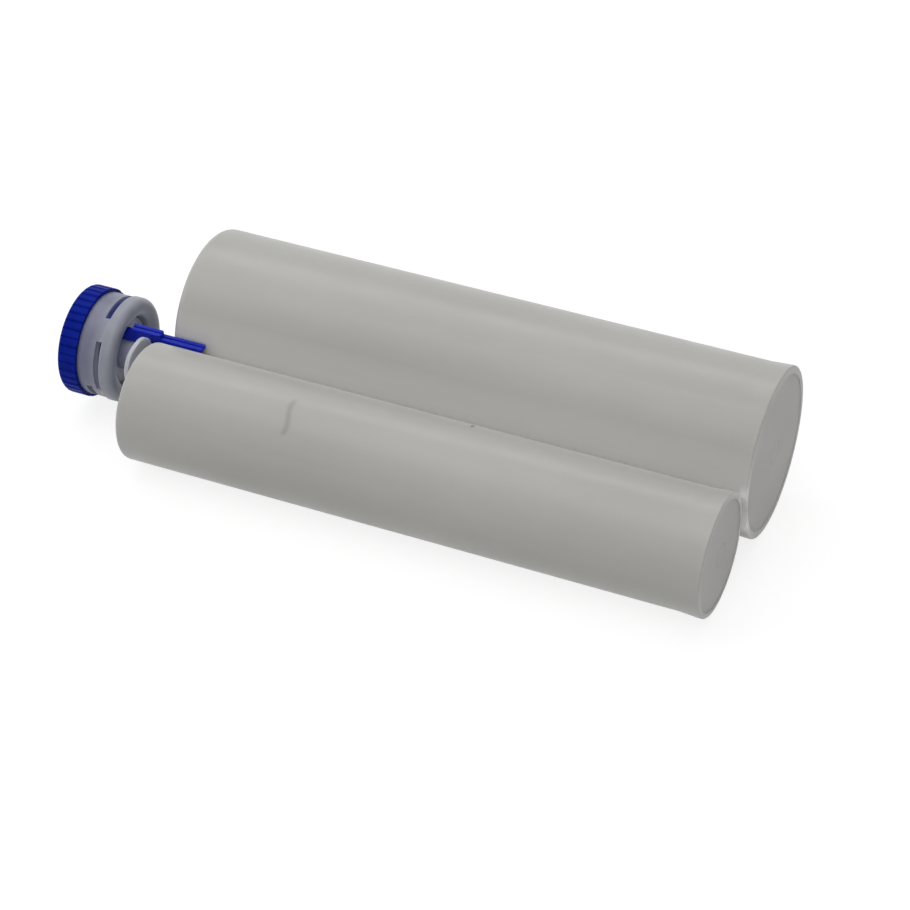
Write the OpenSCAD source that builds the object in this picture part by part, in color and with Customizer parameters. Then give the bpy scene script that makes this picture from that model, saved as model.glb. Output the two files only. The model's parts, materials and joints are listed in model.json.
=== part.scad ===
// Dual cartridge for a two-part adhesive, lying on its two barrels, in millimetres.
// Two unequal barrels stand side by side with a merged wall. Their outlets meet in one nose, which is closed by
// a keyed plug under a screwed nut. The nut is a windowed collar with a knurled cap snapped into its front.
//
// Local frame: X runs along the barrels, 0 at the large barrel's front face and the nose towards -X.
// The nose axis is y = z = 0, with the large barrel on the +Y side. lay_down() rests the barrels on the ground.

/* [Barrels] */
// Bore radius of the large barrel
large_bore_r = 23.5; // [20:0.5:28]
// Volume of the large barrel for one part of the small one
volume_ratio = 2; // [1.5:0.25:3]
// Wall of the large barrel
large_wall = 2; // [1.6:0.1:3]
// Wall of the small barrel
small_wall = 1.4; // [1.3:0.1:2.5]
// Depth to which the two walls run into each other where the barrels meet
wall_merge = 1.1; // [0.6:0.1:1.2]
// Length of each barrel
barrel_len = 183; // [120:1:260]
// How far the small barrel stands ahead of the large one
small_lead = 1.3; // [0.5:0.1:2]
// Thickness of the barrels' front walls
front_wall = 2.2; // [1.6:0.1:4]
// Rounding of the large barrel's front edge
large_round = 2.5; // [1:0.25:5]
// Rounding of the small barrel's front edge
small_round = 0.8; // [0.4:0.1:1.2]

/* [Rear ends] */
// How far the lip stands out from the barrel
lip_proud = 0.4; // [0.2:0.1:0.6]
// Length of the straight lip
lip_len = 1.5; // [1:0.25:6]
// Length of the slope up to the lip
lip_slope = 6; // [2:0.5:10]
// Rounding of the rim's outer edge
rim_round = 0.6; // [0.2:0.1:0.7]

/* [Outlet head] */
// Length of the nose from the large barrel's front face to its tip
nose_len = 20.8; // [19:0.2:28]
// Radius of the large barrel's outlet
large_outlet_r = 2; // [1.6:0.1:2.4]
// Radius of the small barrel's outlet
small_outlet_r = 1.4; // [1.2:0.1:1.9]
// Least distance from an outlet's port to the barrel's wall
port_margin = 0.3; // [0.2:0.1:0.6]
// Wall of the neck outside the large outlet
neck_wall = 0.9; // [0.8:0.1:1.5]
// Length of the threaded flange on the nose
thread_len = 3.5; // [3:0.25:4.5]
// Length of the nose ahead of the flange
tip_len = 0.8; // [0.6:0.1:1.2]
// How far the flange reaches beyond the bar inside the nut
thread_cover = 0.3; // [0.2:0.1:1]
// Thickness of the plate that locks the cartridge in its gun, on the small barrel's side
plate_t = 1.2; // [1:0.1:1.6]
// Gap between the plate and the small barrel's front
plate_gap = 3.6; // [2.5:0.1:5]
// Half height of the plate
plate_half = 15.1; // [13.5:0.1:16]
// Distance of the plate's inner side from the nose axis
plate_in = 3.2; // [2.8:0.1:4.2]
// Distance of the plate's outer side from the nose axis
plate_out = 18.5; // [17:0.5:21]
// Rounding of the plate's corners
plate_round = 6.5; // [4:0.5:7]

/* [Keyed plug] */
// Width of the key bar
key_w = 2.6; // [2:0.1:3.2]
// Thickness of the bar's tail
tail_t = 1.3; // [1:0.1:2]
// Length of the tail in the valley between the barrels
tail_len = 13.9; // [11:0.1:20]
// Height of the bar inside the nut
inner_t = 3.1; // [2.6:0.1:3.3]
// Gap between the nut's rear edge and the thick part of the bar
nut_clear = 1.3; // [0.8:0.1:2]
// How far the thick part of the bar stops ahead of the large barrel's front face
block_stop = 2.2; // [1.8:0.1:3]
// Height of the step from the tail up to the thick part
key_step = 1.4; // [0.6:0.1:2]
// Width of the groove along the bar's top
key_groove_w = 0.7; // [0.4:0.1:1]
// Depth of that groove
key_groove_t = 0.45; // [0.2:0.05:0.7]
// Thickness of the plug's disc
disc_t = 4; // [3:0.25:6]
// Radius of the plug's disc
disc_r = 10.2; // [9.8:0.1:10.3]
// Length of the two stoppers
stopper_len = 8; // [5:0.5:11]
// Length of the taper at a stopper's end
stopper_taper = 1.5; // [0.5:0.25:3]
// Radius of the snap stem
stem_r = 3.4; // [2.5:0.1:4]
// How far the snap head reaches beyond the stem
snap_reach = 1; // [0.6:0.1:1.5]
// Thickness of the snap head
snap_t = 1.7; // [1.2:0.1:2]

/* [Nut] */
// Length of the collar
collar_len = 11.8; // [11.4:0.1:12.6]
// Wall of the collar round the cap's spigot
collar_wall = 3.5; // [3.3:0.1:5]
// How much wider than the rear ring's hole the collar is in front, on the radius
ring_step = 2.3; // [2:0.1:3]
// Rounding of the ring's outer edge
collar_round = 2.3; // [1.5:0.1:2.5]
// Rounding of the ring's inner edge
mouth_round = 2.6; // [1:0.1:2.7]
// How far the collar's front band lies below its rear ring
band_step = 0.4; // [0.2:0.05:0.8]
// Number of windows round the collar
window_count = 4; // [3:1:6]
// Width of the bridges between the windows, in degrees
bridge_angle = 28; // [16:1:36]
// Place of the first bridge, from the top towards the large barrel, in degrees
bridge_place = -27; // [-90:1:90]
// Width of the windows along the axis
window_w = 2; // [1.5:0.1:2.4]
// Distance from the collar's rear edge to the windows
window_back = 4.2; // [3.8:0.1:4.4]
// Width of the two snap windows, in degrees
snap_angle = 34; // [24:1:44]
// Width of the snap windows along the axis
snap_window_w = 2.2; // [1.9:0.1:2.4]
// Distance from the collar's front edge to the snap windows
snap_window_back = 2; // [1.7:0.1:2.2]
// Length of the cap ahead of the collar
cap_len = 6.35; // [6:0.05:10]
// How far the cap stands out from the collar
cap_proud = 0.65; // [0.3:0.05:1.2]
// Rounding of the cap's front edge
cap_round = 1; // [0.5:0.1:1.5]
// Number of grooves round the cap
knurl_count = 40; // [24:1:48]
// Depth of each groove
knurl_t = 0.55; // [0.3:0.05:0.65]
// Thickness of the cap's web, which carries the plug
web_t = 2; // [1.4:0.1:2.5]
// Radius of the recess in the cap's front
recess_r = 9.5; // [8:0.25:11]
// How far the cap's shoulder lies behind the web
shoulder_back = 0.4; // [0.2:0.1:1.2]
// Radial thickness of the cap's spigot
spigot_t = 1.8; // [1.4:0.1:1.9]
// Length of the cap's spigot
spigot_len = 1.8; // [1.2:0.1:2]

/* [Pistons] */
// Depth of the pistons' backs below the rear rims, with the cartridge full
piston_recess = 0.1; // [0.1:0.1:20]
// Length of a piston
piston_len = 24; // [18:0.5:32]
// Thickness of a piston's back
back_t = 2.6; // [2:0.1:4]
// Thickness of a piston's skirt ahead of the seal
skirt_t = 2; // [1.4:0.1:2.6]
// Thickness of the cover that closes a piston's front
cover_t = 1.6; // [1.2:0.1:2.5]
// Radius of the seal ring's section
seal_r = 1.35; // [1:0.05:1.6]
// Distance from a piston's back to the seal's centre
seal_back = 4.4; // [3.6:0.1:6]
// Radius of the hub in a piston's centre
hub_r = 5; // [4:0.25:6]
// Radius of the vent hole
vent_r = 2; // [1.5:0.1:2.5]
// How far the vent pin's head reaches beyond the hole
vent_head = 1.6; // [1:0.1:1.8]
// Thickness of the vent pin's head
vent_head_t = 1; // [0.8:0.1:1.2]
// Number of ribs in a piston
rib_count = 6; // [4:1:8]
// Thickness of each rib
rib_t = 1.6; // [1:0.1:2]

/* [Clearances] */
// Between a piston's skirt and its bore
skirt_gap = 0.15; // [0.15:0.05:0.4]
// Between a seal ring and the bore it runs in
seal_gap = 0.05; // [0.02:0.01:0.1]
// Between a seal ring and its groove
groove_gap = 0.15; // [0.05:0.05:0.3]
// Between a stopper and its outlet
stopper_gap = 0.05; // [0.02:0.01:0.1]
// Between the thread's flange and the collar's bore
thread_gap = 0.4; // [0.35:0.05:0.6]
// Between the key bar and what it slides along
key_gap = 0.3; // [0.2:0.05:0.5]
// Between the plug, the nose and the cap's web
seat_gap = 0.3; // [0.2:0.05:0.5]
// Between the snap stem and the cap's bore
stem_gap = 0.1; // [0.05:0.05:0.2]
// Between the cap's spigot and the collar, and between a piston and its vent pin and cover
snap_gap = 0.05; // [0.02:0.01:0.1]
// How much narrower than its snap window a hook of the cap is, in degrees
hook_play = 4; // [2:0.5:6]

/* [Hidden] */
$fn = 96;
// Overshoot of a cutting solid, and a length beyond the whole part
bite = 1;
beyond = 2*barrel_len;

// Barrels: the nose axis runs down the middle of the large barrel's wall
small_bore_r = large_bore_r/sqrt(volume_ratio);
large_r = large_bore_r + large_wall;
small_r = small_bore_r + small_wall;
axis_gap = large_r + small_r - wall_merge;
large_y = large_bore_r + large_wall/2;
small_y = large_y - axis_gap;
rest_tilt = asin((large_r - small_r)/axis_gap);

// Outlets: each port opens just inside its own bore
large_port_y = large_y - large_bore_r + port_margin + large_outlet_r;
small_port_y = small_y + small_bore_r - port_margin - small_outlet_r;
neck_r = large_port_y + large_outlet_r + neck_wall;

// Valley between the barrels: its width and its middle at a height above the axes
function valley_large(h) = large_y - sqrt(large_r*large_r - h*h);
function valley_small(h) = small_y + sqrt(small_r*small_r - h*h);
function valley_w(h) = valley_large(h) - valley_small(h);
// Height at which the valley is as wide as w, by halving the interval
function valley_height(w, low = 0, high = small_r, steps = 24) =
    steps == 0 ? (low + high)/2 :
    valley_w((low + high)/2) < w ? valley_height(w, (low + high)/2, high, steps - 1) :
    valley_height(w, low, (low + high)/2, steps - 1);

// Key bar: the tail lies as deep in the valley as its width allows
tail_low = valley_height(key_w + 2*key_gap);
tail_top = tail_low + tail_t;
key_y = (valley_large(tail_low) + valley_small(tail_low))/2;
key_low = neck_r + key_gap;
key_top = tail_top + key_step;
key_reach = norm([abs(key_y) + key_w/2, key_low + inner_t]);

// Nose and nut, from the nose's tip forwards
thread_r = key_reach + thread_cover;
thread_x = tip_len - nose_len;
ring_bore_r = thread_r + thread_gap;
collar_bore_r = ring_bore_r + ring_step;
collar_r = collar_bore_r + collar_wall;
cap_r = collar_r + cap_proud;
disc_x = -nose_len - seat_gap;
web_x = disc_x - disc_t - seat_gap;
shoulder_x = web_x + shoulder_back;
cap_x = shoulder_x - cap_len;
snap_x = web_x - web_t - seat_gap;
collar_x = shoulder_x + collar_len;
hook_x = shoulder_x + snap_window_back + snap_window_w - key_gap;
spigot_r = collar_bore_r - snap_gap;

// Where a piston's back and front are, in the barrel with the given front face
function piston_back(front) = front + barrel_len - piston_recess;
function piston_front(front) = piston_back(front) - piston_len;

// The part rests on its lips, with its origin under the middle of its box
ground_z = small_r + lip_proud - small_y*sin(rest_tilt);
middle_x = (cap_x + barrel_len)/2;
middle_y = ((large_y + small_y)*cos(rest_tilt) + large_r - small_r)/2;

// Shared shapes

// Turns the whole part from the local frame to the ground
module lay_down() {
    translate([-middle_x, -middle_y, ground_z]) rotate([rest_tilt, 0, 0]) children();
}

// Turns what stands along Z to lie along X
module along_x() {
    rotate([0, 90, 0]) children();
}

// Round bar from x = start, of the given length
module bar_x(r, start, length, y = 0) {
    translate([start, y, 0]) along_x() cylinder(r = r, h = length);
}

// Solid of revolution about X from a profile drawn as [radius, x]
module revolved(y = 0) {
    translate([0, y, 0]) along_x() rotate_extrude() children();
}

// Arc-shaped block about the nose axis, centred at an angle from the top
module sector(r_in, r_out, start, length, centre, angle) {
    rotate([-centre, 0, 0]) along_x() rotate([0, 0, 180 - angle/2]) rotate_extrude(angle = angle)
        translate([r_in, start]) square([r_out - r_in, length]);
}

// Slot above a height for the key bar to run in
module key_way(low, start, length) {
    translate([start, key_y - key_w/2 - key_gap, low])
        cube([length, key_w + 2*key_gap, collar_r]);
}

// Profile of a barrel's outside, with its rounded front edge and its lip
module barrel_outline(r, round, front) {
    rear = front + barrel_len;
    translate([0, front + round]) square([r, barrel_len - round - lip_len]);
    translate([0, front]) square([r - round, barrel_len - rim_round]);
    translate([r - round, front + round]) circle(r = round);
    polygon([[0, rear - lip_len - lip_slope], [r, rear - lip_len - lip_slope], [r + lip_proud, rear - lip_len],
             [r + lip_proud, rear - rim_round], [0, rear - rim_round]]);
    translate([0, rear - rim_round]) square([r + lip_proud - rim_round, rim_round]);
    translate([r + lip_proud - rim_round, rear - rim_round]) circle(r = rim_round);
}

module large_outside() {
    revolved(large_y) barrel_outline(large_r, large_round, 0);
}

module small_outside() {
    revolved(small_y) barrel_outline(small_r, small_round, -small_lead);
}

module large_inside() {
    bar_x(large_bore_r, front_wall, barrel_len, large_y);
}

// Barrels: the small one's wall is whole and sunk into the large one's, whose lip leaves the small end free

module large_barrel() color("gainsboro") lay_down() difference() {
    large_outside();
    large_inside();
    bar_x(large_outlet_r, -bite, front_wall + 2*bite, large_port_y);
    small_outside();
    bar_x(small_r + lip_proud, barrel_len - small_lead - rim_round, beyond, small_y);
}

module small_barrel() color("gainsboro") lay_down() difference() {
    small_outside();
    bar_x(small_bore_r, front_wall - small_lead, barrel_len, small_y);
    bar_x(small_outlet_r, -small_lead - bite, front_wall + 2*bite, small_port_y);
    large_inside();
}

// Outlet head: neck, lock plate and threaded nose in one moulding, welded to both front walls

module plate_outline() {
    width = plate_out - plate_in;
    translate([plate_round - plate_out, -plate_half]) square([width - 2*plate_round, 2*plate_half]);
    translate([-plate_out, plate_round - plate_half]) square([width, 2*(plate_half - plate_round)]);
    for (y = [plate_round - plate_out, -plate_in - plate_round], side = [-1, 1])
        translate([y, side*(plate_half - plate_round)]) circle(r = plate_round);
}

module lock_plate() {
    translate([-small_lead - plate_gap - plate_t, 0, 0]) rotate([90, 0, 90])
        linear_extrude(plate_t) plate_outline();
}

module outlet_head() color("whitesmoke") lay_down() difference() {
    union() {
        bar_x(neck_r, -nose_len, nose_len + small_lead);
        lock_plate();
        bar_x(thread_r, thread_x, thread_len);
    }
    bar_x(large_outlet_r, -nose_len - bite, nose_len + 2*bite, large_port_y);
    bar_x(small_outlet_r, -nose_len - bite, nose_len + 2*bite, small_port_y);
    key_way(neck_r + key_gap/2, thread_x - bite, thread_len + 2*bite);
    large_outside();
    small_outside();
}

// Keyed plug: a disc with two stoppers, a snap stem and the key bar

module stopper(r, y) {
    straight = stopper_len - stopper_taper;
    bar_x(r, disc_x, straight, y);
    translate([disc_x + straight, y, 0]) along_x() cylinder(r1 = r, r2 = r - key_gap, h = stopper_taper);
}

module key_bar() {
    block_x = collar_x + nut_clear;
    translate([disc_x - disc_t/2, key_y - key_w/2, key_low])
        cube([disc_t/2 - disc_x - block_stop, key_w, inner_t]);
    translate([block_x, key_y - key_w/2, key_low]) cube([-block_stop - block_x, key_w, key_top - key_low]);
    translate([-block_stop - bite, key_y - key_w/2, tail_low]) cube([tail_len + bite, key_w, tail_t]);
}

module key_grooves() {
    translate([collar_x, key_y - key_groove_w/2, key_top - key_groove_t])
        cube([-block_stop - collar_x, key_groove_w, bite]);
    translate([-block_stop, key_y - key_groove_w/2, tail_top - key_groove_t])
        cube([tail_len + bite, key_groove_w, key_step + bite]);
}

module keyed_plug() color("royalblue") lay_down() difference() {
    union() {
        bar_x(disc_r, disc_x - disc_t, disc_t);
        stopper(large_outlet_r - stopper_gap, large_port_y);
        stopper(small_outlet_r - stopper_gap, small_port_y);
        bar_x(stem_r, snap_x - snap_t/2, disc_x - disc_t/2 - snap_x + snap_t/2);
        revolved() polygon([[0, snap_x - snap_t], [stem_r, snap_x - snap_t], [stem_r + snap_reach, snap_x - snap_t/2],
                            [stem_r + snap_reach, snap_x], [0, snap_x]]);
        key_bar();
    }
    key_grooves();
}

// Nut: the windowed collar and the knurled cap, snapped together

// Profile of the collar: a front band, a slope up to the thick rear ring, and the ring's rounded edges
module collar_profile() {
    ring_x = collar_x - window_back;
    step_x = ring_x + mouth_round/4;
    round_x = collar_x - collar_round;
    crest_r = collar_r - collar_round;
    difference() {
        union() {
            polygon([[collar_bore_r, shoulder_x], [collar_r - band_step, shoulder_x],
                     [collar_r - band_step, ring_x - window_w/2], [collar_r, ring_x], [collar_r, round_x],
                     [crest_r, round_x], [crest_r, collar_x], [ring_bore_r, collar_x],
                     [ring_bore_r, step_x], [collar_bore_r, step_x]]);
            intersection() {
                translate([crest_r, round_x]) circle(r = collar_round);
                translate([crest_r, round_x]) square(collar_round);
            }
        }
        difference() {
            translate([ring_bore_r - bite, collar_x - mouth_round]) square(mouth_round + bite);
            translate([ring_bore_r + mouth_round, collar_x - mouth_round]) circle(r = mouth_round);
        }
    }
}

module coupling_collar() color("azure") lay_down() difference() {
    revolved() collar_profile();
    for (i = [0 : window_count - 1])
        sector(collar_bore_r - bite, collar_r + bite, collar_x - window_back - window_w, window_w,
               bridge_place + (i + 0.5)*360/window_count, 360/window_count - bridge_angle);
    for (side = [-90, 90])
        sector(collar_bore_r - bite, collar_r + bite, shoulder_x + snap_window_back, snap_window_w,
               bridge_place + side, snap_angle);
}

// Profile of the cap: the outside with its rounded front edge, the recess and web, and the spigot with its barb
module cap_profile() {
    barb_x = hook_x - snap_window_w + 2*key_gap;
    difference() {
        union() {
            translate([stem_r + stem_gap, cap_x]) square([cap_r - cap_round - stem_r - stem_gap, cap_len]);
            translate([cap_r - 2*cap_round, cap_x + cap_round]) square([2*cap_round, cap_len - cap_round]);
            translate([cap_r - cap_round, cap_x + cap_round]) circle(r = cap_round);
            polygon([[spigot_r - spigot_t, web_x], [spigot_r, web_x], [spigot_r, barb_x],
                     [spigot_r + snap_reach, barb_x], [spigot_r + snap_reach, hook_x - snap_reach/2],
                     [spigot_r, hook_x], [spigot_r - spigot_t, hook_x]]);
        }
        translate([0, cap_x - bite]) square([recess_r, web_x - web_t - cap_x + bite]);
        translate([0, web_x]) square([spigot_r - spigot_t, cap_len]);
    }
}

// Cap: the profile turned, less the V grooves of the knurl and all of the barb but two hooks
module knurled_cap() color("royalblue") lay_down() difference() {
    revolved() cap_profile();
    for (i = [0 : knurl_count - 1])
        translate([cap_x - bite, 0, 0]) along_x() rotate(i*360/knurl_count) linear_extrude(cap_len + bite)
            polygon([[cap_r - knurl_t, 0], [cap_r + bite, -knurl_t - bite], [cap_r + bite, knurl_t + bite]]);
    for (side = [0, 180])
        sector(spigot_r - spigot_t - bite, spigot_r + snap_reach + bite, shoulder_x + spigot_len, collar_len,
               bridge_place + side, 180 - snap_angle + hook_play);
}

// Pistons: flat at the back and cored from the front, with ribs, a cover, a seal ring and a vent pin, for one bore

module piston(bore_r, front, y) {
    r = bore_r - skirt_gap;
    x = piston_front(front);
    seal_x = piston_back(front) - seal_back;
    groove_half = seal_r + groove_gap;
    groove_r = bore_r - seal_gap - seal_r - groove_half;
    wide_end = seal_x - groove_half - skirt_t;
    difference() {
        union() {
            revolved(y) difference() {
                translate([0, x]) square([r, piston_len]);
                translate([0, x - bite]) square([r - skirt_t, cover_t + bite]);
                translate([hub_r, x]) square([r - skirt_t - hub_r, wide_end - x]);
                translate([hub_r, x]) square([groove_r - skirt_t - hub_r, piston_len - back_t]);
            }
            for (i = [0 : rib_count - 1])
                translate([x + cover_t, y, 0]) rotate([i*360/rib_count, 0, 0])
                    translate([0, -rib_t/2, hub_r/2])
                        cube([piston_len - cover_t - back_t/2, rib_t, r - skirt_t/2 - hub_r/2]);
        }
        revolved(y) translate([groove_r, seal_x - groove_half]) square([r, 2*groove_half]);
        bar_x(vent_r, x, beyond, y);
        bar_x(vent_r + vent_head + snap_gap, piston_back(front) - vent_head_t, beyond, y);
    }
}

module piston_cover(bore_r, front, y) difference() {
    bar_x(bore_r - skirt_gap - skirt_t - snap_gap, piston_front(front), cover_t, y);
    bar_x(vent_r/2, piston_front(front) - bite, cover_t + 2*bite, y);
}

module piston_ring(bore_r, front, y) {
    revolved(y) translate([bore_r - seal_gap - seal_r, piston_back(front) - seal_back]) circle(r = seal_r);
}

module vent_pin(front, y) {
    tip = piston_front(front) + cover_t + snap_gap;
    head = piston_back(front) - vent_head_t;
    bar_x(vent_r - snap_gap, tip, head + vent_head_t/2 - tip, y);
    bar_x(vent_r + vent_head, head, vent_head_t, y);
}

module large_piston() color("ghostwhite") lay_down() piston(large_bore_r, 0, large_y);
module large_piston_cover() color("ghostwhite") lay_down() piston_cover(large_bore_r, 0, large_y);
module large_piston_ring() color("dimgray") lay_down() piston_ring(large_bore_r, 0, large_y);
module large_vent_pin() color("ghostwhite") lay_down() vent_pin(0, large_y);
module small_piston() color("ghostwhite") lay_down() piston(small_bore_r, -small_lead, small_y);
module small_piston_cover() color("ghostwhite") lay_down() piston_cover(small_bore_r, -small_lead, small_y);
module small_piston_ring() color("dimgray") lay_down() piston_ring(small_bore_r, -small_lead, small_y);
module small_vent_pin() color("ghostwhite") lay_down() vent_pin(-small_lead, small_y);

large_barrel();
small_barrel();
outlet_head();
keyed_plug();
coupling_collar();
knurled_cap();
large_piston();
large_piston_cover();
large_piston_ring();
large_vent_pin();
small_piston();
small_piston_cover();
small_piston_ring();
small_vent_pin();
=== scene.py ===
# %% [markdown]
# # Dual cartridge
#
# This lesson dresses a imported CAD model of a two-part adhesive cartridge: two frosted barrels side by
# side, a nose closed by a keyed plug, and a milky collar with a blue knurled cap. The CAD solids already
# have the right shapes, so most of the work is in the finishes: how milky plastic scatters light, how a
# moulded surface is grained, and how a few marks tell that the thing has been handled. The thread, the
# lips and the skirt that the solids leave out are added as new surfaces.

# %% Load the frame
import json
import math

import bpy
import numpy as np
from mathutils import Matrix, Vector


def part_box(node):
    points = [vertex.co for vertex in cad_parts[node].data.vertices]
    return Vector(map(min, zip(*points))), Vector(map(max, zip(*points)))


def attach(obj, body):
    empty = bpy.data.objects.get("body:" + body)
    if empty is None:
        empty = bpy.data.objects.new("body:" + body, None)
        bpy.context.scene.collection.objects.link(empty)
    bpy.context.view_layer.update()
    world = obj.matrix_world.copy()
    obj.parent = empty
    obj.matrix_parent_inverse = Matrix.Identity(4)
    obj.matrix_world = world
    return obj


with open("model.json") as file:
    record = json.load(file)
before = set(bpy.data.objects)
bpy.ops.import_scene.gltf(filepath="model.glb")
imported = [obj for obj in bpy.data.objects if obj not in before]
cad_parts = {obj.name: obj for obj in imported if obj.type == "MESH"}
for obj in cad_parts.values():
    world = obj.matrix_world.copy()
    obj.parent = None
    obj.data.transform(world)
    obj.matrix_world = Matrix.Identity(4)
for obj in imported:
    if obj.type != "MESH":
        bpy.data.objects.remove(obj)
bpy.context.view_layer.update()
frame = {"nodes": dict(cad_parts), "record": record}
nodes = frame["nodes"]
print("nodes:", sorted(nodes))

# %% [markdown]
# ## Where things are
#
# Everything is in metres in the CAD frame: X runs along the barrels towards their rear ends, and Z is up.
# A seal ring is whole and round, so the middle of its box lies on its barrel's axis, and the record's mount
# gives a point on the nose's axis: no place has to be guessed. The cartridge lies on two barrels of unequal
# size and so leans a little, and the nose gets two directions of its own: across, towards the large barrel,
# and upward, square to it.

# %% Axes of the barrels and the nose
MM = 0.001
rings = ("large_piston_ring", "small_piston_ring")
large_axis, small_axis = (np.mean(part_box(name), axis=0) for name in rings)
nose = np.array(next(m["pos_m"] for m in frame["record"]["mounts"] if m["name"] == "nose_thread"))
lean = math.atan2(large_axis[2] - small_axis[2], large_axis[1] - small_axis[1])
across = np.array([0.0, math.cos(lean), math.sin(lean)])
upward = np.array([0.0, -math.sin(lean), math.cos(lean)])
print("the cartridge leans by %.2f degrees" % math.degrees(lean))

# %% [markdown]
# ## Camera
#
# A camera can be placed by eye or worked out. Here it was worked out from the outlines of the two barrels:
# the far ends look smaller than the near ones, which gives the distance, and the rims' ellipses give the
# angle. The lens is long, as for a small product picture. The small shift puts the object where it sits in
# the picture.

# %% Set the camera
AZIMUTH, ELEVATION = math.radians(23.675), math.radians(38.176)
FOCAL_PX, FRAME_PX, SENSOR_MM = 2825.45, 910, 36.0
CAMERA_PLACE, CAMERA_SHIFT = (0.28193, -0.61360, 0.52095), (0.0036, 0.0405)
CLIP_NEAR, CLIP_FAR = 0.01, 20.0
level = math.cos(ELEVATION)
back = Vector((math.sin(AZIMUTH)*level, -math.cos(AZIMUTH)*level, math.sin(ELEVATION)))
right = Vector((math.cos(AZIMUTH), math.sin(AZIMUTH), 0.0))
camera_data = bpy.data.cameras.new("product_camera")
camera_data.sensor_width = SENSOR_MM
camera_data.lens = FOCAL_PX/FRAME_PX*SENSOR_MM
camera_data.shift_x, camera_data.shift_y = CAMERA_SHIFT
camera_data.clip_start, camera_data.clip_end = CLIP_NEAR, CLIP_FAR
camera = bpy.data.objects.new("product_camera", camera_data)
view_turn = Matrix((right, back.cross(right), back)).transposed().to_4x4()
camera.matrix_world = Matrix.Translation(CAMERA_PLACE) @ view_turn
bpy.context.scene.collection.objects.link(camera)
bpy.context.scene.camera = camera
print("lens %.1f mm at %.0f mm" % (camera_data.lens, camera.location.length/MM))

# %% [markdown]
# ## Nodes
#
# A material is a graph of nodes. Wiring it by hand takes three lines for each node, so the first helper
# adds one node, sets its plain values and links its sockets in one call, and the others build on it. A
# value that is the same all over is set on the shader's own socket, because that survives an export.

# %% Add nodes and start a finish
def add(tree, kind, values=None, **settings):
    """Adds a node, sets its properties, and sets or links each named input."""
    node = tree.nodes.new(kind)
    for key, value in settings.items():
        setattr(node, key, value)
    for key, value in (values or {}).items():
        if isinstance(value, bpy.types.NodeSocket):
            tree.links.new(value, node.inputs[key])
        else:
            node.inputs[key].default_value = value
    return node


def new_finish(name):
    """Returns a material, its node tree, its shader and the piece's own coordinates in metres."""
    material = bpy.data.materials.new(name)
    material.use_nodes = True
    tree = material.node_tree
    shader = tree.nodes["Principled BSDF"]
    return material, tree, shader, add(tree, "ShaderNodeTexCoord").outputs["Object"]


# %% [markdown]
# ## Patterns and colours
#
# No moulded plastic is one flat colour. A painted picture could carry its clouds, streaks and grain, but
# noise on the piece's own coordinates needs no picture and keeps its real size on every piece. Noise stays
# near the middle of its range, so a second node spreads it over the range that is wanted.

# %% Patterns and colours
CLOUD_DETAIL, FINE_DETAIL = 4.0, 2.0


def noise(tree, coords, size, detail, roughness=0.5, stretch=(1, 1, 1)):
    """Noise with features of about a size in metres, longer along an axis that has a stretch above 1."""
    scaled = add(tree, "ShaderNodeMapping", {"Vector": coords, "Scale": [1/(size*s) for s in stretch]})
    values = {"Vector": scaled.outputs["Vector"], "Scale": 1.0, "Detail": detail, "Roughness": roughness}
    return add(tree, "ShaderNodeTexNoise", values).outputs["Fac"]


def spread(tree, value, low, high, from_low=0.3, from_high=0.7):
    """Carries a value from one range to the range low to high. The first range is a noise's usual one."""
    return add(tree, "ShaderNodeMapRange", {"Value": value, "From Min": from_low, "From Max": from_high,
                                            "To Min": low, "To Max": high}).outputs["Result"]


def mix_colour(tree, factor, first, second):
    """Colour between two colours or sockets."""
    node = add(tree, "ShaderNodeMix", {0: factor}, data_type="RGBA")
    for index, value in ((6, first), (7, second)):
        if isinstance(value, bpy.types.NodeSocket):
            tree.links.new(value, node.inputs[index])
        else:
            node.inputs[index].default_value = (*value, 1.0)
    return node.outputs[2]


def maths(tree, operation, *values):
    """One arithmetic step on sockets or numbers."""
    return add(tree, "ShaderNodeMath", dict(enumerate(values)), operation=operation).outputs[0]


# %% [markdown]
# ## Relief, edges and scattered light
#
# Grain that is too fine to model is a bump: it tilts the normals and leaves the surface in place. The
# solids' edges are sharp. Each could get a bevel in the mesh, but a shader that rounds their normals leaves
# the solids as they are. Milky plastic takes light in and lets it out close by, which is the shader's
# subsurface part.

# %% Relief, edges and scattered light
PLASTIC_IOR, BEVEL_SAMPLES = 1.49, 6


def bump(tree, height, depth, normal=None):
    """Normal of a relief of the given depth in metres."""
    values = {"Height": height, "Strength": 1.0, "Distance": depth}
    if normal is not None:
        values["Normal"] = normal
    return add(tree, "ShaderNodeBump", values).outputs["Normal"]


def rounded(tree, radius):
    """Normal that rounds off sharp moulded edges by a radius in metres."""
    return add(tree, "ShaderNodeBevel", {"Radius": radius}, samples=BEVEL_SAMPLES).outputs["Normal"]


def scatter_light(shader, share, depth):
    """Lets a share of the light in, to leave up to about a depth away, given for red, green and blue."""
    shader.inputs["Subsurface Weight"].default_value = share
    shader.inputs["Subsurface Radius"].default_value = depth
    shader.inputs["Subsurface Scale"].default_value = 1.0


def dress(material, *names):
    """Gives CAD nodes a material in place of their plain one."""
    for name in names:
        mesh = nodes[name].data
        mesh.materials.clear()
        mesh.materials.append(material)
    print(material.name, "on", ", ".join(names))


# %% [markdown]
# ## Marks on the small barrel
#
# The small barrel has a faint dark smear, about two millimetres wide, part of the way round, and one
# speck. Both could be drawn on a picture, but a mask worked out from the place along the barrel and the
# angle round it needs no picture and stays sharp at any distance.

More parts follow.
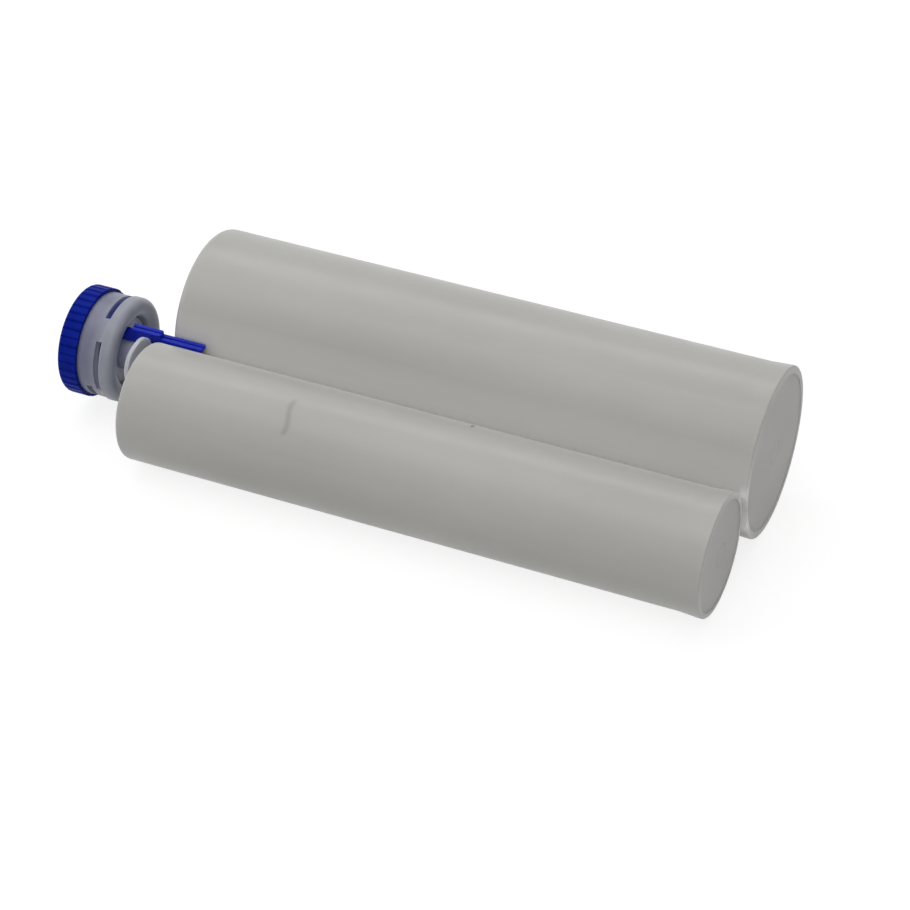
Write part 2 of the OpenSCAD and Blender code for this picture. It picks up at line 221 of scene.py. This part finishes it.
# %% Smear and speck
SMEAR_X, SMEAR_SWAY, SMEAR_HALF = -24.05*MM, 0.65*MM, 1.4*MM
SMEAR_TOP, SMEAR_LOW = math.radians(-7.0), math.radians(-47.0)
SMEAR_WAVE, SMEAR_CORE = 6.0, 0.15
TOP_FADE, LOW_FADE = 0.12, 0.02
SPECK_X, SPECK_TURN, SPECK_CORE = 26.81*MM, math.radians(26.0), 0.3
SPECK_HALF_WIDTH, SPECK_HALF_LENGTH, SPECK_RADIUS = 0.6*MM, 1.8*MM, 18.0*MM


def smear_mask(tree, along, angle):
    """1 on the smear: a bent line round the barrel, x = x0 - a sin(w u), with u from 0 to 1 along it."""
    u = spread(tree, angle, 0, 1, SMEAR_TOP, SMEAR_LOW)
    bend = maths(tree, "SINE", maths(tree, "MULTIPLY", u, SMEAR_WAVE))
    line = maths(tree, "SUBTRACT", SMEAR_X, maths(tree, "MULTIPLY", SMEAR_SWAY, bend))
    away = maths(tree, "ABSOLUTE", maths(tree, "SUBTRACT", along, line))
    beside = spread(tree, away, 1, 0, SMEAR_CORE*SMEAR_HALF, SMEAR_HALF)
    top_end = spread(tree, angle, 1, 0, SMEAR_TOP - TOP_FADE, SMEAR_TOP)
    low_end = spread(tree, angle, 0, 1, SMEAR_LOW - LOW_FADE, SMEAR_LOW + LOW_FADE)
    return maths(tree, "MULTIPLY", beside, maths(tree, "MULTIPLY", top_end, low_end))


def speck_mask(tree, along, angle):
    """1 on the speck: an oval where (x / a)^2 + (arc / b)^2 is under 1, longer round the barrel."""
    step_x = maths(tree, "DIVIDE", maths(tree, "SUBTRACT", along, SPECK_X), SPECK_HALF_WIDTH)
    turned = maths(tree, "SUBTRACT", angle, SPECK_TURN)
    step_round = maths(tree, "MULTIPLY", turned, SPECK_RADIUS/SPECK_HALF_LENGTH)
    squares = [maths(tree, "MULTIPLY", step, step) for step in (step_x, step_round)]
    return spread(tree, maths(tree, "ADD", *squares), 1, 0, SPECK_CORE, 1.0)


def barrel_marks(tree, coords):
    """Smear and speck on the small barrel, from x and the angle about its axis, 0 at the top."""
    axis = (0.0, *small_axis[1:])
    centred = add(tree, "ShaderNodeVectorMath", {0: coords, 1: axis}, operation="SUBTRACT").outputs[0]
    parts = add(tree, "ShaderNodeSeparateXYZ", {0: centred}).outputs
    angle = maths(tree, "ARCTAN2", parts["Y"], parts["Z"])
    return smear_mask(tree, parts["X"], angle), speck_mask(tree, parts["X"], angle)


print("smear at x = %.1f mm, speck at x = %.1f mm" % (SMEAR_X/MM, SPECK_X/MM))

# %% [markdown]
# ## Frosted barrels
#
# The barrels are natural polypropylene: not white, but a pale warm grey that light enters and leaves a few
# millimetres away. Glass-like transmission would show the inside too clearly, so the light is scattered
# inside the wall instead. The mould was spark-eroded, which leaves a fine matt grain, and the plastic
# flowed along the barrels, which leaves faint long streaks. Handling has rubbed a few places smoother.
# Where the two walls run into each other, light comes through from both barrels. A renderer would need very
# many scatterings for that, so that light is painted: the colour is paler there, which also lightens the
# valley's shade, most of all in the corner between the two rear rims. The head is the same plastic, with
# the blue plug's light painted on it as a cooler colour, bluest on its neck.

# %% Painted light by the nose's axis
# Each is a painted light's colour, and the distances from the axis at which it is whole and at which it has
# gone
# Painted light in the valley, where the two barrels' walls meet
PAINTED_VALLEY_LIGHT = ((0.74, 0.73, 0.71), 6*MM, 19*MM)
# Painted blue light of the plug on the shaded neck
PAINTED_NECK_BLUE_LIGHT = ((0.50, 0.515, 0.62), 8*MM, 10*MM)
# Painted light in the corner between the two rear rims, which lightens the crevice's shade
PAINTED_CORNER_LIGHT = ((0.98, 0.97, 0.95), 7.5*MM, 10.5*MM)
CORNER_REACH, CORNER_WHOLE = 2.5*MM, 1.5*MM
rear_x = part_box("large_barrel")[1].x


def axis_distance(tree, coords):
    """Distance from the nose's axis, which runs on along the line where the two barrels' walls meet."""
    centred = add(tree, "ShaderNodeVectorMath", {0: coords, 1: nose}, operation="SUBTRACT").outputs[0]
    values = {0: centred, 1: (0.0, 1.0, 1.0)}
    square = add(tree, "ShaderNodeVectorMath", values, operation="MULTIPLY").outputs[0]
    return add(tree, "ShaderNodeVectorMath", {0: square}, operation="LENGTH").outputs["Value"]


def paint_light_by_axis(tree, coords, colour, by_axis):
    """The colour, turned to a painted light's colour by the nose's axis, and to a still paler painted light
    in the rear corner.
    """
    distance = axis_distance(tree, coords)
    along = add(tree, "ShaderNodeSeparateXYZ", {0: coords}).outputs["X"]
    axis_colour, whole, gone = by_axis
    corner_colour, corner_whole, corner_gone = PAINTED_CORNER_LIGHT
    at_rear = spread(tree, along, 0, 1, rear_x - CORNER_REACH, rear_x - CORNER_WHOLE)
    near_axis = spread(tree, distance, 1, 0, corner_whole, corner_gone)
    corner = maths(tree, "MULTIPLY", at_rear, near_axis)
    axis_colour = mix_colour(tree, corner, axis_colour, corner_colour)
    return mix_colour(tree, spread(tree, distance, 1, 0, whole, gone), colour, axis_colour)


print("the rear corner ends at x = %.1f mm" % (rear_x/MM))

# %% Frosted polypropylene
CLOUD, STREAK, GRAIN, RUB = 30*MM, 4*MM, 0.5*MM, 12*MM
CLOUD_STRETCH, STREAK_STRETCH, STREAK_SHARE = (2.5, 1, 1), (40, 1, 1), 0.35
RUB_DETAIL, RUB_BREAK = 5.0, 0.65
MATT_LOW, MATT_HIGH, MATT_STREAK = 0.31, 0.40, 0.02
SMEAR_COLOUR, SMEAR_SHARE, SMEAR_MATT = (0.18, 0.175, 0.15), 0.32, 0.15
SPECK_COLOUR, SPECK_SHARE = (0.05, 0.045, 0.04), 0.75
WALL_DEPTH = (3.0*MM, 2.9*MM, 2.7*MM)
GRAIN_DEPTH, STREAK_DEPTH = 0.012*MM, 0.03*MM


def frosted_finish(name, colours, by_axis, share, marked=False):
    """Pale scattering plastic: cloudy colour, streaks along X, painted light by the nose's axis, eroded
    grain and rubbed patches, and marks if wanted."""
    material, tree, shader, coords = new_finish(name)
    deep, pale, streak = colours
    clouds = noise(tree, coords, CLOUD, CLOUD_DETAIL, stretch=CLOUD_STRETCH)
    streaks = noise(tree, coords, STREAK, FINE_DETAIL, stretch=STREAK_STRETCH)
    grain = noise(tree, coords, GRAIN, FINE_DETAIL)
    rubbed = noise(tree, coords, RUB, RUB_DETAIL, roughness=RUB_BREAK)
    colour = mix_colour(tree, spread(tree, clouds, 0, 1), deep, pale)
    colour = mix_colour(tree, spread(tree, streaks, 0, STREAK_SHARE), colour, streak)
    colour = paint_light_by_axis(tree, coords, colour, by_axis)
    matt = maths(tree, "ADD", spread(tree, rubbed, MATT_LOW, MATT_HIGH),
                 spread(tree, streaks, -MATT_STREAK, MATT_STREAK))
    if marked:
        smear, speck = barrel_marks(tree, coords)
        colour = mix_colour(tree, maths(tree, "MULTIPLY", smear, SMEAR_SHARE), colour, SMEAR_COLOUR)
        colour = mix_colour(tree, maths(tree, "MULTIPLY", speck, SPECK_SHARE), colour, SPECK_COLOUR)
        matt = maths(tree, "ADD", matt, maths(tree, "MULTIPLY", smear, SMEAR_MATT))
    tree.links.new(colour, shader.inputs["Base Color"])
    tree.links.new(matt, shader.inputs["Roughness"])
    scatter_light(shader, share, WALL_DEPTH)
    shader.inputs["IOR"].default_value = PLASTIC_IOR
    relief = bump(tree, streaks, STREAK_DEPTH, bump(tree, grain, GRAIN_DEPTH))
    tree.links.new(relief, shader.inputs["Normal"])
    return material


WARM = ((0.475, 0.470, 0.447), (0.525, 0.520, 0.497), (0.545, 0.540, 0.515))
# The head's own tones, made cooler by painted blue light from the plug
HEAD_TONES_PAINTED_BLUE = ((0.485, 0.510, 0.560), (0.535, 0.560, 0.610), (0.555, 0.575, 0.620))
WALL_SHARE, HEAD_SHARE = 0.5, 0.95
dress(frosted_finish("frosted_polypropylene", WARM, PAINTED_VALLEY_LIGHT, WALL_SHARE), "large_barrel")
dress(frosted_finish("marked_polypropylene", WARM, PAINTED_VALLEY_LIGHT, WALL_SHARE, marked=True), "small_barrel")
head_finish = frosted_finish("cool_polypropylene", HEAD_TONES_PAINTED_BLUE, PAINTED_NECK_BLUE_LIGHT, HEAD_SHARE)
dress(head_finish, "outlet_head")

# %% [markdown]
# ## Milky collar
#
# The collar is the same kind of plastic with a little violet-white pigment, so it looks cooler than the
# barrels. The wall is thin at the front, where the cap's blue spigot shines through it; that blue light and
# the shade by the cap are painted into the colour, which turns bluer and darker along the nose. Light that
# has come through the wall is painted inside the windows: pale in most of them, and blue beside the bar.
# Its edges were rounded in the mould. A bevel shader rounds the normals of the solid's sharp edges.

# %% Milky collar plastic
PALE = ((0.31, 0.325, 0.38), (0.36, 0.375, 0.43))
# Painted blue light from the spigot and painted shade by the cap, towards the collar's front
PAINTED_BLUE_AND_SHADE_FRONT = ((0.20, 0.205, 0.30), (0.24, 0.245, 0.34))
# Painted light inside the windows: pale, and blue beside the bar
PAINTED_PALE_INSIDE, PAINTED_BLUE_INSIDE = (0.62, 0.65, 0.76), (0.22, 0.26, 0.64)
COLLAR_CLOUD, COLLAR_GRAIN, COLLAR_GRAIN_DEPTH = 6*MM, 0.4*MM, 0.01*MM
COLLAR_MATT, COLLAR_SHARE, COLLAR_EDGE = (0.34, 0.46), 0.7, 0.4*MM
COLLAR_DEPTH = (3.0*MM, 3.1*MM, 3.6*MM)
# Where each change starts and ends: behind the collar's front, ahead of its rear, under its outside, and
# from the nose's axis towards the small barrel
FRONT_BAND, MOUTH_BAND = (3.5*MM, 7.5*MM), (3.9*MM, 3.6*MM)
WALL_BAND, BAR_BAND = (2.2*MM, 0.6*MM), (7.0*MM, 4.5*MM)


def inside_mask(tree, coords, along):
    """1 inside the collar's wall and ahead of the rounded mouth, by the distance from the nose's axis."""
    low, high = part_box("coupling_collar")
    collar_r = (high.z - low.z)/2
    ahead_of_mouth = spread(tree, along, 1, 0, *(high.x - step for step in MOUTH_BAND))
    deep = spread(tree, axis_distance(tree, coords), 1, 0, *(collar_r - step for step in WALL_BAND))
    return maths(tree, "MULTIPLY", ahead_of_mouth, deep)


def milky_finish():
    """Cool milky plastic, with painted blue light and shade towards its front band and painted light inside
    the windows, with rounded edges.
    """
    material, tree, shader, coords = new_finish("milky_collar_plastic")
    front_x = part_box("coupling_collar")[0].x
    clouds = noise(tree, coords, COLLAR_CLOUD, CLOUD_DETAIL)
    grain = noise(tree, coords, COLLAR_GRAIN, FINE_DETAIL)
    place = add(tree, "ShaderNodeSeparateXYZ", {0: coords}).outputs
    front = spread(tree, place["X"], 1, 0, *(front_x + step for step in FRONT_BAND))
    # Towards the front, painted blue light from the spigot and painted shade by the cap
    pale, painted_blue_front = (mix_colour(tree, spread(tree, clouds, 0, 1), *pair) for pair in (PALE, PAINTED_BLUE_AND_SHADE_FRONT))
    bar_side = spread(tree, place["Y"], 0, 1, *(nose[1] - step for step in BAR_BAND))
    # Painted light inside the windows: pale, and blue on the bar's side
    painted_window_light = mix_colour(tree, bar_side, PAINTED_PALE_INSIDE, PAINTED_BLUE_INSIDE)
    outside = mix_colour(tree, front, pale, painted_blue_front)
    colour = mix_colour(tree, inside_mask(tree, coords, place["X"]), outside, painted_window_light)
    tree.links.new(colour, shader.inputs["Base Color"])
    tree.links.new(spread(tree, clouds, *COLLAR_MATT), shader.inputs["Roughness"])
    scatter_light(shader, COLLAR_SHARE, COLLAR_DEPTH)
    shader.inputs["IOR"].default_value = PLASTIC_IOR
    relief = bump(tree, grain, COLLAR_GRAIN_DEPTH, rounded(tree, COLLAR_EDGE))
    tree.links.new(relief, shader.inputs["Normal"])
    return material


collar_finish = milky_finish()
dress(collar_finish, "coupling_collar")

# %% [markdown]
# ## Blue plastic
#
# The cap and the keyed plug are moulded in one strong blue. It is satin and dull: the highlights are broad
# and weak, so the shader's specular level is turned down. The plug's thin bar lets some light through,
# which its scattering shows; that light is also painted into its colour, which is lighter than the cap's.

# %% Blue moulded plastic
CAP_BLUE, CAP_GLOSS, CAP_SHARE = ((0.003, 0.013, 0.26), (0.006, 0.022, 0.34)), 0.04, 0.0
# The plug's colours are the cap's blue made lighter by painted light that comes through the bar
PLUG_BLUE_WITH_PAINTED_LIGHT, PLUG_GLOSS, PLUG_SHARE = ((0.008, 0.022, 0.42), (0.016, 0.034, 0.52)), 0.14, 0.6
BLUE_CLOUD, BLUE_GRAIN, BLUE_GRAIN_DEPTH = 5*MM, 0.3*MM, 0.008*MM
BLUE_MATT, BLUE_EDGE = (0.36, 0.48), 0.3*MM
BLUE_DEPTH = (0.4*MM, 0.6*MM, 2.0*MM)


def blue_finish(name, colours, gloss, share):
    """Satin blue between two colours, with slight clouds, a fine grain, rounded edges and light inside."""
    material, tree, shader, coords = new_finish(name)
    clouds = noise(tree, coords, BLUE_CLOUD, CLOUD_DETAIL)
    grain = noise(tree, coords, BLUE_GRAIN, FINE_DETAIL)
    tree.links.new(mix_colour(tree, spread(tree, clouds, 0, 1), *colours), shader.inputs["Base Color"])
    tree.links.new(spread(tree, clouds, *BLUE_MATT), shader.inputs["Roughness"])
    shader.inputs["IOR"].default_value = PLASTIC_IOR
    shader.inputs["Specular IOR Level"].default_value = gloss
    scatter_light(shader, share, BLUE_DEPTH)
    relief = bump(tree, grain, BLUE_GRAIN_DEPTH, rounded(tree, BLUE_EDGE))
    tree.links.new(relief, shader.inputs["Normal"])
    return material


dress(blue_finish("blue_cap_plastic", CAP_BLUE, CAP_GLOSS, CAP_SHARE), "knurled_cap")
plug_finish = blue_finish("blue_plug_plastic", PLUG_BLUE_WITH_PAINTED_LIGHT, PLUG_GLOSS, PLUG_SHARE)
dress(plug_finish, "keyed_plug")

# %% [markdown]
# ## Pistons, seals and vent pins
#
# The pistons are natural polyethylene, of the same pale tone as the barrels, so that the flush rear ends
# look closed. The seal rings are black rubber with a dull bloom. They lie deep in their grooves and show
# only when taken apart.

# %% Inner pieces
PISTON_TONES = ((0.48, 0.47, 0.455), (0.52, 0.51, 0.495))
RUBBER_TONES = ((0.012, 0.012, 0.013), (0.026, 0.026, 0.027))
PISTON_MATT, RUBBER_MATT = (0.40, 0.52), (0.55, 0.72)
PISTON_SHARE, RUBBER_SHARE = 0.5, 0.0
WAX_CLOUD, WAX_GRAIN, WAX_GRAIN_DEPTH, WAX_EDGE = 8*MM, 0.5*MM, 0.012*MM, 0.3*MM


def waxy_finish(name, colours, matt, share):
    """Waxy moulded surface with clouds between two colours."""
    material, tree, shader, coords = new_finish(name)
    clouds = noise(tree, coords, WAX_CLOUD, CLOUD_DETAIL)
    grain = noise(tree, coords, WAX_GRAIN, FINE_DETAIL)
    tree.links.new(mix_colour(tree, spread(tree, clouds, 0, 1), *colours), shader.inputs["Base Color"])
    tree.links.new(spread(tree, clouds, *matt), shader.inputs["Roughness"])
    scatter_light(shader, share, WALL_DEPTH)
    relief = bump(tree, grain, WAX_GRAIN_DEPTH, rounded(tree, WAX_EDGE))
    tree.links.new(relief, shader.inputs["Normal"])
    return material


piston_finish = waxy_finish("natural_polyethylene", PISTON_TONES, PISTON_MATT, PISTON_SHARE)
dress(piston_finish, "large_piston", "small_piston", "large_piston_cover", "small_piston_cover",
      "large_vent_pin", "small_vent_pin")
dress(waxy_finish("black_rubber", RUBBER_TONES, RUBBER_MATT, RUBBER_SHARE),
      "large_piston_ring", "small_piston_ring")

# %% [markdown]
# ## Wiping lips of the pistons
#
# A piston's skirt must not drag on the bore, so it keeps a small gap, and only a thin soft lip at its back
# edge reaches out and wipes the wall. The lip closes the ring-shaped gap at the rear end. A lathe modifier
# could turn it, but the surface is a plain formula: a small wedge carried round the barrel's axis.

# %% A profile carried round an axis
FULL_TURN = 2*math.pi


def new_piece(name, points, faces):
    """A mesh object at the origin, with its place in its mesh."""
    mesh = bpy.data.meshes.new(name)
    mesh.from_pydata(points.reshape(-1, 3).tolist(), [], faces)
    piece = bpy.data.objects.new(name, mesh)
    bpy.context.scene.collection.objects.link(piece)
    return piece


def turned_piece(name, centre, along, radius, segments, first=0.0, arc=FULL_TURN):
    """A closed profile carried round an axis along X: y = r sin(angle) and z = r cos(angle), at each x of
    the profile. The profile goes from its front over its outside to its rear, so that the faces point
    outwards. A piece that goes only part of the way round gets a flat face at each end."""
    whole = arc == FULL_TURN
    angle = first + np.linspace(0, arc, segments, endpoint=not whole)[:, None]
    x = along + 0*angle
    sides = [centre[1] + radius*np.sin(angle), centre[2] + radius*np.cos(angle)]
    points = np.stack([x, *sides], axis=-1)
    index = np.arange(segments*len(along)).reshape(segments, len(along))
    beside = np.roll(index, -1, axis=1)
    corners = [index, beside, np.roll(beside, -1, axis=0), np.roll(index, -1, axis=0)]
    quads = np.stack(corners, axis=-1)
    faces = quads.reshape(-1, 4).tolist()
    if not whole:
        faces = [*quads[:-1].reshape(-1, 4).tolist(), index[0, ::-1].tolist(), index[-1].tolist()]
    print(name, "has", len(faces), "faces, up to radius %.2f mm" % (radius.max()/MM))
    return new_piece(name, points, faces)


# %% Turned lips
LIP_OUT, LIP_IN, LIP_DEPTH, LIP_PROUD = 0.13*MM, 0.9*MM, 1.0*MM, 0.02*MM
LIP_SEGMENTS = 192
for size, axis in (("large", large_axis), ("small", small_axis)):
    low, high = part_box(size + "_piston")
    piston_r = (high.z - low.z)/2
    lip_x = high.x + np.array([-LIP_DEPTH, -0.3*LIP_DEPTH, LIP_PROUD, LIP_PROUD, -0.3*LIP_DEPTH])
    lip_r = piston_r + np.array([-0.2*LIP_IN, LIP_OUT, LIP_OUT, -0.6*LIP_IN, -LIP_IN])
    lip = turned_piece(size + "_piston_lip", axis, lip_x, lip_r, LIP_SEGMENTS)
    lip.data.materials.append(piston_finish)
    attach(lip, size + "_piston")

# %% [markdown]
# ## Thread of the nose
#
# The nut turns half a round and comes six millimetres forward, so the thread has a lead of twelve
# millimetres and, with four starts, a pitch of three. The solids keep the flange and the bore plain. A
# ridge could be cut by a screw modifier, but it is simpler to carry a small profile along a helix: each
# point is a place along the ridge and a place round the profile. The collar has four short lugs on the same
# helix, half a pitch behind, so at every turn they run midway between the ridges.

# %% A profile carried along a helix
LEAD, STARTS, HEIGHT, SUNK = 12.0*MM, 4, 0.27*MM, 0.15*MM
PROFILE_OUT = np.array([-SUNK, 0.0, 0.75*HEIGHT, HEIGHT, HEIGHT, 0.75*HEIGHT, 0.0, -SUNK])
PROFILE_SIDE = np.array([-1.0, -1.0, -0.62, -0.40, 0.40, 0.62, 1.0, 1.0])
RUN_OUT, END_WIDTH = 0.15, 0.4


def nose_radii(name, reach):
    """Distances from the nose's axis of a node's points within a reach of the thread's middle along X."""
    mesh = nodes[name].data
    points = np.empty(3*len(mesh.vertices))
    mesh.vertices.foreach_get("co", points)
    points = points.reshape(-1, 3) - nose
    return np.hypot(points[:, 1], points[:, 2])[np.abs(points[:, 0]) < reach]


def helical_pieces(name, base_r, inward, first, arc, offset, half_width, steps):
    """Four pieces carried along a helix about the nose, with t over the arc: at angle first + t, x is
    offset - lead (t - arc / 2) / full turn, and r is base + profile, or base - profile inwards. The profile
    sinks to nothing at both ends by a smooth step."""
    t = np.linspace(0, arc, steps)[:, None]
    start = np.arange(STARTS)[:, None, None]*FULL_TURN/STARTS
    ends = np.clip(np.minimum(t, arc - t)/(RUN_OUT*arc), 0, 1)
    ends = ends*ends*(3 - 2*ends)
    out = np.where(PROFILE_OUT > 0, PROFILE_OUT*ends, PROFILE_OUT)
    r = base_r - out if inward else base_r + out
    angle = first + start + t + 0*out
    side = PROFILE_SIDE*half_width*(END_WIDTH + (1 - END_WIDTH)*ends)
    x = offset - LEAD*(t - arc/2)/FULL_TURN + side + 0*angle
    points = nose + x[..., None]*np.array([1.0, 0.0, 0.0]) \
        + (r*np.cos(angle))[..., None]*upward + (r*np.sin(angle))[..., None]*across
    count = len(PROFILE_OUT)
    index = np.arange(STARTS*steps*count).reshape(STARTS, steps, count)
    beside = np.roll(index, -1, axis=2)
    corners = [index[:, :-1], beside[:, :-1], beside[:, 1:], index[:, 1:]]
    quads = np.stack(corners, axis=-1).reshape(-1, 4)
    faces = [*quads.tolist(), *index[:, 0, ::-1].tolist(), *index[:, -1].tolist()]
    if inward:
        faces = [face[::-1] for face in faces]
    print(name, "has", len(faces), "faces, from radius %.2f mm" % (base_r/MM))
    return new_piece(name, points, faces)


print("the thread's pitch is %.1f mm" % (LEAD/STARTS/MM))

# %% Ridges on the flange and lugs in the collar
FLANGE_REACH, COLLAR_REACH = 1.8*MM, 20*MM
flange_r = nose_radii("outlet_head", FLANGE_REACH).max()
bore_r = nose_radii("coupling_collar", COLLAR_REACH).min()
FIRST, ARC, RIDGE_HALF, RIDGE_STEPS = math.radians(10.5), math.radians(64), 0.45*MM, 49
ridges = helical_pieces("thread_ridges", flange_r, False, FIRST, ARC, 0.0, RIDGE_HALF, RIDGE_STEPS)
ridges.data.materials.append(head_finish)
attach(ridges, "cartridge")
LUG_ARC, LUG_TURN, LUG_HALF, LUG_STEPS = math.radians(20), math.radians(24.6), 0.35*MM, 25
lug_first = FIRST + LUG_TURN - LUG_ARC/2
lug_place = LEAD/STARTS/2 + LEAD*(ARC/2 - LUG_TURN)/FULL_TURN
lugs = helical_pieces("collar_lugs", bore_r, True, lug_first, LUG_ARC, lug_place, LUG_HALF, LUG_STEPS)
lugs.data.materials.append(collar_finish)
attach(lugs, "nut")

# %% [markdown]
# ## Skirt of the plug
#
# Blue shows in the collar's upper window: on the bar's side the plug's disc has a thin skirt that reaches
# back over the flange and stiffens the bar's root. It is turned like the lips, but only part of the way
# round, from a profile with a web that grips the disc and a sleeve that clears the ridges. Its places along
# X are counted from the middle of the thread.

# %% Turned skirt
DISC_R, GRIP = 10.2*MM, 0.4*MM
SKIRT_GAP, SKIRT_WALL, SKIRT_EDGE = 0.35*MM, 0.60*MM, 0.15*MM
WEB_FRONT, WEB_STEP, WEB_REAR = -3.25*MM, -2.70*MM, -2.25*MM
SLEEVE_FRONT, SLEEVE_INNER, SLEEVE_REAR = -2.50*MM, -2.05*MM, 0.95*MM
SKIRT_FIRST, SKIRT_ARC, SKIRT_SEGMENTS = math.radians(-26.0), math.radians(92.0), 48
skirt_in = flange_r + HEIGHT + SKIRT_GAP
skirt_out = skirt_in + SKIRT_WALL
skirt_x = nose[0] + np.array([WEB_FRONT, WEB_FRONT, WEB_STEP, SLEEVE_FRONT, SLEEVE_REAR - SKIRT_EDGE,
                              SLEEVE_REAR, SLEEVE_REAR, SLEEVE_INNER, WEB_REAR])
skirt_r = np.array([DISC_R - GRIP, DISC_R + GRIP, DISC_R + GRIP, skirt_out, skirt_out,
                    skirt_out - SKIRT_EDGE, skirt_in, skirt_in, DISC_R - GRIP])
skirt_first = SKIRT_FIRST - lean
skirt = turned_piece("plug_skirt", nose, skirt_x, skirt_r, SKIRT_SEGMENTS, skirt_first, SKIRT_ARC)
skirt.data.materials.append(plug_finish)
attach(skirt, "plug")

# %% [markdown]
# ## Floor and world
#
# The picture has a pure white background. More light would wash out the pale barrels, so the white comes
# from what the camera sees, not from what lights the object: camera, glossy and transmitted rays see white,
# and all other rays see a plain pale floor and a soft sky. The floor keeps a faint shadow, so that the
# object doesn't float, and turns fully white farther away, so that no horizon shows in a low view.

# %% Floor
FLOOR_HALF, FLOOR_TONE, SHADOW_TONE = 3.0, 0.72, 0.30
GLOW_NEAR, GLOW_FAR, NEAR, FAR = 0.82, 1.0, 0.4, 1.2
WHITE = (1, 1, 1, 1)


def sees_white(tree):
    """1 for rays that show a background: from the camera, off a gloss, or through glass."""
    path = add(tree, "ShaderNodeLightPath").outputs
    seen = maths(tree, "MAXIMUM", path["Is Camera Ray"], path["Is Glossy Ray"])
    return maths(tree, "MAXIMUM", seen, path["Is Transmission Ray"])


def floor_material():
    """Plain and pale where it lights the object, and white with a faint shadow where it is seen."""
    material = bpy.data.materials.new("white_floor")
    material.use_nodes = True
    tree = material.node_tree
    tree.nodes.clear()
    plain = add(tree, "ShaderNodeBsdfDiffuse", {"Color": (FLOOR_TONE, FLOOR_TONE, FLOOR_TONE, 1)})
    shadow = add(tree, "ShaderNodeBsdfDiffuse", {"Color": (SHADOW_TONE, SHADOW_TONE, SHADOW_TONE, 1)})
    coords = add(tree, "ShaderNodeTexCoord").outputs["Object"]
    away = add(tree, "ShaderNodeVectorMath", {0: coords}, operation="LENGTH").outputs["Value"]
    strength = spread(tree, away, GLOW_NEAR, GLOW_FAR, NEAR, FAR)
    glow = add(tree, "ShaderNodeEmission", {"Color": WHITE, "Strength": strength})
    white = add(tree, "ShaderNodeAddShader", {0: shadow.outputs[0], 1: glow.outputs[0]})
    values = {0: sees_white(tree), 1: plain.outputs[0], 2: white.outputs[0]}
    both = add(tree, "ShaderNodeMixShader", values)
    add(tree, "ShaderNodeOutputMaterial", {"Surface": both.outputs[0]})
    return material


floor_corners = FLOOR_HALF*np.array([(-1, -1, 0), (1, -1, 0), (1, 1, 0), (-1, 1, 0)])
floor = new_piece("floor", floor_corners, [(0, 1, 2, 3)])
floor.data.materials.append(floor_material())
print("floor of %.0f m" % (2*FLOOR_HALF))

# %% World
SKY_LIGHT, SKY_SEEN = 0.29, 1.0


def set_world():
    """A soft sky that is white where it is seen."""
    world = bpy.data.worlds.new("studio")
    bpy.context.scene.world = world
    world.use_nodes = True
    tree = world.node_tree
    tree.nodes.clear()
    sky = add(tree, "ShaderNodeBackground", {"Color": WHITE, "Strength": SKY_LIGHT})
    white = add(tree, "ShaderNodeBackground", {"Color": WHITE, "Strength": SKY_SEEN})
    values = {0: sees_white(tree), 1: sky.outputs[0], 2: white.outputs[0]}
    both = add(tree, "ShaderNodeMixShader", values)
    add(tree, "ShaderNodeOutputWorld", {"Surface": both.outputs[0]})


set_world()
print("sky at %.2f, seen at %.2f" % (SKY_LIGHT, SKY_SEEN))

# %% [markdown]
# ## Lamps
#
# Pale plastic shows its shape by soft changes of tone, so the lamps are large panels. One is a long narrow
# strip beyond the barrels: it alone draws the highlight that runs along each of them.

# %% Panel lamps
AIM = (0, 0, 0.02)


def lamp(name, place, width, height, power):
    """A soft panel lamp of a width and height at a place, turned towards the middle of the cartridge."""
    data = bpy.data.lights.new(name, "AREA")
    data.shape = "RECTANGLE"
    data.size, data.size_y, data.energy = width, height, power
    panel = bpy.data.objects.new(name, data)
    turn = (Vector(AIM) - Vector(place)).to_track_quat("-Z", "Y").to_matrix().to_4x4()
    panel.matrix_world = Matrix.Translation(place) @ turn
    bpy.context.scene.collection.objects.link(panel)
    print(name, "of %.2f by %.2f m with %.2f W" % (width, height, power))


lamp("top_lamp", place=(-0.15, -0.20, 1.10), width=0.9, height=0.9, power=3.05)
lamp("high_lamp", place=(0.10, -0.75, 0.85), width=0.6, height=0.6, power=1.3)
lamp("front_lamp", place=(0.0, -1.10, 0.45), width=0.8, height=0.8, power=0.6)
lamp("left_lamp", place=(-0.95, -0.30, 0.60), width=0.7, height=0.7, power=0.8)
lamp("strip_lamp", place=(-0.42, 0.66, 1.06), width=1.8, height=0.18, power=4.4)
bpy.context.scene.view_settings.view_transform = "Standard"
